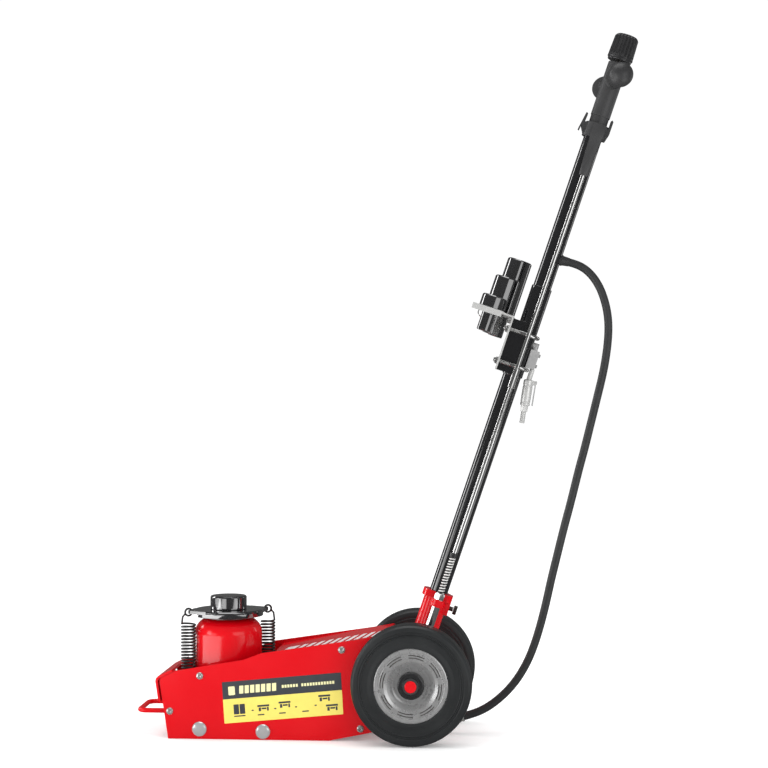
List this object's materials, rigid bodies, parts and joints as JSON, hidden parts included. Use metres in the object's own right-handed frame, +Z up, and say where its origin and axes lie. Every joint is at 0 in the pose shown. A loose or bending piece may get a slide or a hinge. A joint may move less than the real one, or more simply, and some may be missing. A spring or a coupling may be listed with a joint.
{
  "type": "air-hydraulic floor jack",
  "caption": "Low wheeled air-hydraulic axle jack with a short ram, leaning tee handle with spring lock, air hose and racked extension adapters.",
  "frame": {"origin": "on the floor under the ram axis, at the base plate's lower face", "axes": "+X towards the wheels and the leaning handle, +Z up, the side plates lie along X"},
  "size_m": [0.8722, 0.274, 1.2202],
  "materials": {
    "red_enamel": "gloss red enamel",
    "zinc": "bright zinc plate",
    "cast_iron": "dark cast",
    "black_steel": "gloss black enamel",
    "black_plastic": "moulded satin",
    "aluminium": "satin",
    "chrome": "bright",
    "rubber": "satin",
    "tyre_rubber": "moulded solid rubber",
    "wheel_zinc": "pressed and plated",
    "dark_steel": "blackened, knurled"
  },
  "bodies": {
    "chassis": {"side_plate_near": "red_enamel", "side_plate_far": "red_enamel", "base_plate": "red_enamel", "front_sheet": "red_enamel", "cross_bars": "red_enamel", "top_cover": "red_enamel", "carry_handle": "red_enamel", "base_bolts": "zinc", "cover_screws": "zinc", "jack_base": "cast_iron", "pump_body": "cast_iron", "oil_tank": "red_enamel", "cylinder_tube": "zinc", "gland_nut": "black_steel", "filler_plug": "black_plastic", "spring_posts": "cast_iron", "air_motor": "aluminium", "air_inlet": "zinc", "hose_ferrule": "zinc", "hose": "rubber", "axle": "red_enamel", "axle_clips": "zinc", "lock_sector": "cast_iron", "axle_spacer": "cast_iron", "spring_front": "black_steel", "spring_rear": "black_steel"},
    "ram": {"ram": "chrome", "spring_plate": "black_steel"},
    "saddle": {"saddle": "black_steel"},
    "wheel_near": {"tyre_near": "tyre_rubber", "rim_near": "wheel_zinc", "hub_near": "black_plastic"},
    "wheel_far": {"tyre_far": "tyre_rubber", "rim_far": "wheel_zinc", "hub_far": "black_plastic"},
    "handle": {"socket": "red_enamel", "tube_lower": "black_steel", "tube_upper": "black_steel", "joint_sleeve": "black_steel", "clamp_block": "black_steel", "u_bolts": "zinc", "adapter_rack": "zinc", "rack_ring": "zinc", "rod_guide": "black_plastic", "hose_grommet": "rubber", "tee_bar": "black_steel", "tee_grips": "rubber", "air_block": "aluminium", "air_valve": "aluminium", "lock_spring": "zinc"},
    "lock": {"lock_rods": "chrome", "lock_collar": "black_plastic"},
    "clamp_screw": {"clamp_screw": "dark_steel"},
    "knob": {"release_knob": "black_plastic", "release_rod": "zinc"},
    "release_valve": {"release_valve": "zinc"},
    "valve_lever": {"valve_lever": "dark_steel"},
    "adapter_short": {"adapter_short": "black_steel"},
    "adapter_middle": {"adapter_middle": "black_steel"},
    "adapter_tall": {"adapter_tall": "black_steel"}
  },
  "joints": [
    {"name": "ram_lift", "type": "slide", "parent": "chassis", "child": "ram", "axis": [0, 0, 1], "range_m": [0, 0.14], "stiffness_N_per_m": 1200, "springref_m": -0.03, "deforming": ["spring_front", "spring_rear"]},
    {"name": "saddle_lift_off", "type": "slide", "parent": "ram", "child": "saddle", "axis": [0, 0, 1], "range_m": [0, 0.036]},
    {"name": "wheel_near_spin", "type": "hinge", "parent": "chassis", "child": "wheel_near", "pos_m": [0.329, 0, 0.1025], "axis": [0, 1, 0], "continuous": true},
    {"name": "wheel_far_spin", "type": "hinge", "parent": "chassis", "child": "wheel_far", "pos_m": [0.329, 0, 0.1025], "axis": [0, 1, 0], "continuous": true},
    {"name": "handle_tilt", "type": "hinge", "parent": "chassis", "child": "handle", "pos_m": [0.329, 0, 0.1025], "axis": [0, 1, 0], "range_deg": [-18.8, 50], "deforming": ["hose"]},
    {"name": "lock_lift", "type": "slide", "parent": "handle", "child": "lock", "axis": [0.3223, 0, 0.9466], "range_m": [0, 0.012], "stiffness_N_per_m": 900, "springref_m": -0.012, "deforming": ["lock_spring"]},
    {"name": "knob_turn", "type": "hinge", "parent": "handle", "child": "knob", "pos_m": [0.68468, 0, 1.17088], "axis": [0.3223, 0, 0.9466], "range_deg": [0, 360]},
    {"name": "release_valve_turn", "type": "hinge", "parent": "chassis", "child": "release_valve", "pos_m": [0.2, 0.045, 0.062], "axis": [1, 0, 0], "range_deg": [0, 360]},
    {"name": "clamp_screw_turn", "type": "hinge", "parent": "handle", "child": "clamp_screw", "pos_m": [0.38231, 0, 0.22062], "axis": [0.9466, 0, -0.3223], "range_deg": [0, 360]},
    {"name": "lever_press", "type": "hinge", "parent": "handle", "child": "valve_lever", "pos_m": [0.53967, 0, 0.61091], "axis": [0, 1, 0], "range_deg": [0, 3], "stiffness_Nm_per_rad": 1, "springref_deg": -2.86},
    {"name": "adapter_short_lift_off", "type": "slide", "parent": "handle", "child": "adapter_short", "axis": [0.3223, 0, 0.9466], "range_m": [0, 0.046]},
    {"name": "adapter_middle_lift_off", "type": "slide", "parent": "handle", "child": "adapter_middle", "axis": [0.3223, 0, 0.9466], "range_m": [0, 0.046]},
    {"name": "adapter_tall_lift_off", "type": "slide", "parent": "handle", "child": "adapter_tall", "axis": [0.3223, 0, 0.9466], "range_m": [0, 0.046]}
  ],
  "couplings": [
    {"joint": "release_valve_turn", "follows": "knob_turn", "ratio": 1}
  ]
}
